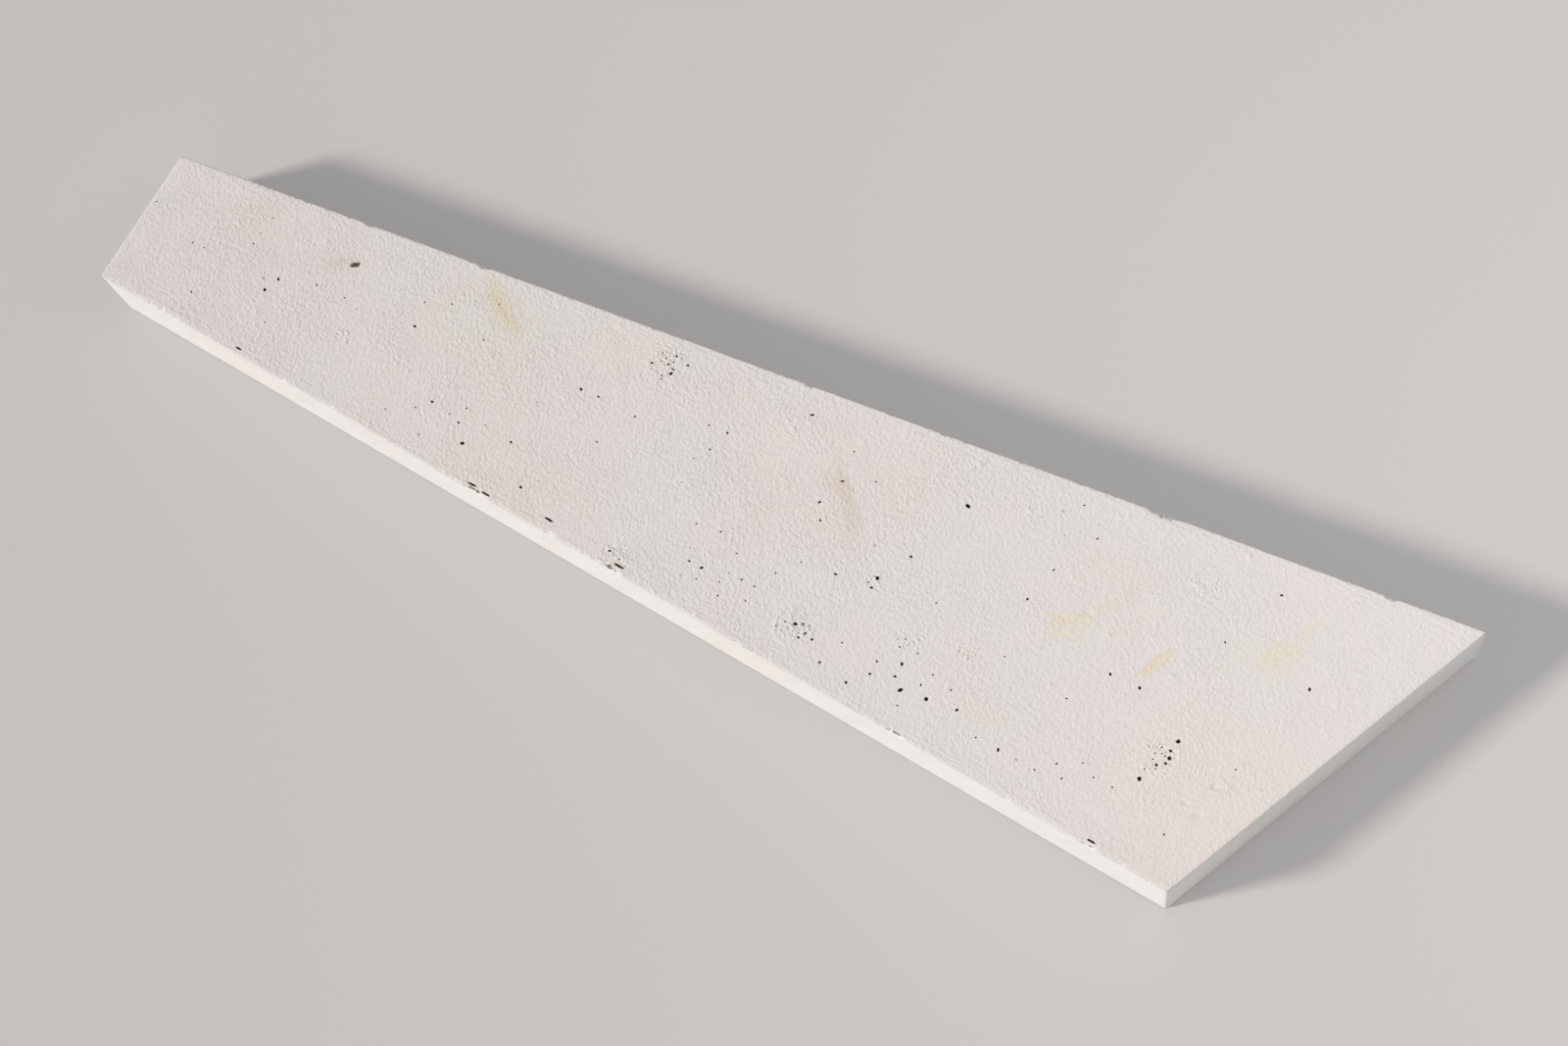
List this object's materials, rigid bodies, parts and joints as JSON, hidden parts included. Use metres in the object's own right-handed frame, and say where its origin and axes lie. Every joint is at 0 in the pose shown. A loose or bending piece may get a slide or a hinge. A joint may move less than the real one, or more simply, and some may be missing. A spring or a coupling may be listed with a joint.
{
  "type": "concrete winder step",
  "caption": "Solid tapered step block of a winding stair, cast in concrete and painted white, lying on its tread with its soffit up.",
  "frame": {"origin": "middle of the footprint's bounding box, on the floor that the block lies on", "axes": "+X along the step towards its outer end, +Y towards the front that laps on the step below, +Z out of the soffit"},
  "size_m": [2.7, 0.6602, 0.15],
  "materials": {
    "painted_concrete": "matt white masonry paint on cast concrete"
  },
  "bodies": {
    "root": {"winder_step": "painted_concrete"}
  },
  "joints": []
}
